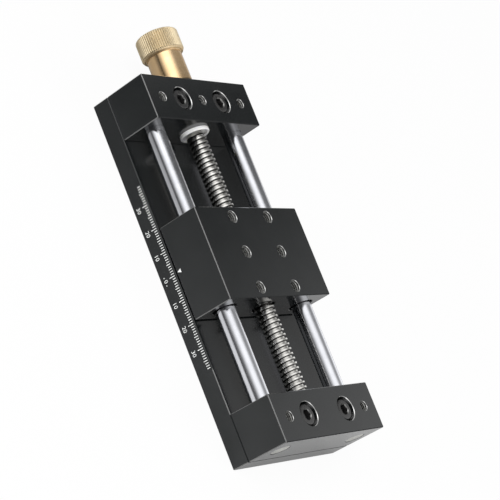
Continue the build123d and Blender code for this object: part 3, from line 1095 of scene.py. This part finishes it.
surface = add_node(tree, "MixShader", {"Fac": from_below, 1: above, 2: below}).outputs["Shader"]
fill_inputs(tree.nodes["Material Output"], {"Surface": surface})

world = bpy.data.worlds.new("studio")
bpy.context.scene.world = world
world.use_nodes = True
world.cycles.sampling_method = "NONE"
tree = world.node_tree
world_light = 0.45
dim_level = 0.13
box_level = 1.05
box_fall = -0.86
box_rise_degrees = (5, 60)
box_fall_degrees = (78, 116)
box_rise_slant = -110
box_fall_slant = -190
slant_reach = (-0.45, 0.1)
slant_middle = 0.2
knob_side_edge = (0.2, 0.34)
knob_side_fall = -0.27
knob_lamp_edge = (0.35, 0.357)
knob_lamp_level = 0.95
knob_lamp_fall = -0.5
knob_lamp_delay = -24
knob_lamp_start = -7
wall_degrees = (130, 175)
wall_slant = 185
wall_level = 0.9
far_side_edge = (0.1, 0.45)
back_edge = (0, 0.4)
far_side_shade = 0.8
ground_edge = (0.02, 0.3)
ground_level = 0.35
way = axis_parts(tree, "Generated")
to_front = times(tree, way["Y"], -1)
degrees = calculated(tree, "DEGREES", calculated(tree, "ARCTAN2", way["Z"], to_front))
limits = {"Value": way["X"], "Min": slant_reach[0], "Max": slant_reach[1]}
sideways = add_node(tree, "Clamp", limits).outputs["Result"]
off_centre = calculated(tree, "ADD", sideways, slant_middle)
to_knob = times(tree, sideways, -1)
at_knob = soft_step(tree, to_knob, *knob_lamp_edge, 1)
delay = calculated(tree, "MULTIPLY_ADD", at_knob, knob_lamp_delay, degrees)
start = calculated(tree, "MULTIPLY_ADD", at_knob, knob_lamp_start, degrees)
rise_angle = calculated(tree, "MULTIPLY_ADD", off_centre, box_rise_slant, start)
fall_angle = calculated(tree, "MULTIPLY_ADD", off_centre, box_fall_slant, delay)
wall_angle = calculated(tree, "MULTIPLY_ADD", off_centre, wall_slant, degrees)
box = calculated(tree, "MULTIPLY_ADD", at_knob, knob_lamp_level, box_level)
rise = times(tree, soft_step(tree, rise_angle, *box_rise_degrees, 1), box)
knob_side = soft_step(tree, to_knob, *knob_side_edge, knob_side_fall)
box_end = calculated(tree, "MULTIPLY_ADD", at_knob, knob_lamp_fall, box_fall)
box_end = calculated(tree, "ADD", box_end, knob_side)
fall = times(tree, soft_step(tree, fall_angle, *box_fall_degrees, 1), box_end)
wall = soft_step(tree, wall_angle, *wall_degrees, wall_level)
level = rise
for part in (fall, wall, dim_level):
    level = calculated(tree, "ADD", level, part)
to_far_side = soft_step(tree, way["X"], *far_side_edge, far_side_shade)
to_back = soft_step(tree, way["Y"], *back_edge, 1)
shaded = rest_of(tree, times(tree, to_far_side, to_back))
level = times(tree, level, shaded)
to_ground = times(tree, way["Z"], -1)
level = calculated(tree, "MAXIMUM", level, soft_step(tree, to_ground, *ground_edge, ground_level))
ray = tree.nodes.new("ShaderNodeLightPath").outputs
mirrored = add_node(tree, "Mix", {"Factor": ray["Is Glossy Ray"], "A": world_light, "B": level})
through = calculated(tree, "MAXIMUM", ray["Is Camera Ray"], ray["Is Transmission Ray"])
shown = add_node(tree, "Mix", {"Factor": through, "A": mirrored.outputs["Result"], "B": 1})
fill_inputs(tree.nodes["Background"], {"Color": (1, 1, 1, 1), "Strength": shown.outputs["Result"]})


stage_middle = Vector((0, 0, 0.015))


def soft_box(name, place, width, height, power):
    """A rectangular lamp that faces the stage, and that metal doesn't mirror."""
    lamp = bpy.data.lights.new(name, "AREA")
    lamp.shape = "RECTANGLE"
    lamp.size = width
    lamp.size_y = height
    lamp.energy = power
    holder = bpy.data.objects.new(name, lamp)
    holder.location = place
    holder.rotation_mode = "QUATERNION"
    holder.rotation_quaternion = (stage_middle - Vector(place)).to_track_quat("-Z", "Y")
    holder.visible_glossy = False
    bpy.context.scene.collection.objects.link(holder)


soft_box("overhead_box", (-0.08, -0.7, 1.1), 0.9, 0.6, 10)
soft_box("front_box", (0.1, -1.2, 0.35), 0.8, 0.4, 6)
soft_box("far_side_box", (0.7, 0.6, 0.7), 0.6, 0.6, 3)

camera_place = Vector((0.17997, -0.57899, 0.40478))
camera_aim = Vector((-0.00705, 0.01125, 0.014))
camera_roll = 58.54
camera_data = bpy.data.cameras.new("camera")
camera_data.lens = 133.06
camera_data.sensor_width = 36
camera_data.clip_start = 0.05
camera_data.clip_end = 20
camera = bpy.data.objects.new("camera", camera_data)
camera.location = camera_place
camera.rotation_mode = "QUATERNION"
upright = (camera_aim - camera_place).to_track_quat("-Z", "Y")
camera.rotation_quaternion = upright @ Quaternion((0, 0, 1), math.radians(camera_roll))
bpy.context.scene.collection.objects.link(camera)
bpy.context.scene.camera = camera
bpy.context.scene.view_settings.view_transform = "Standard"
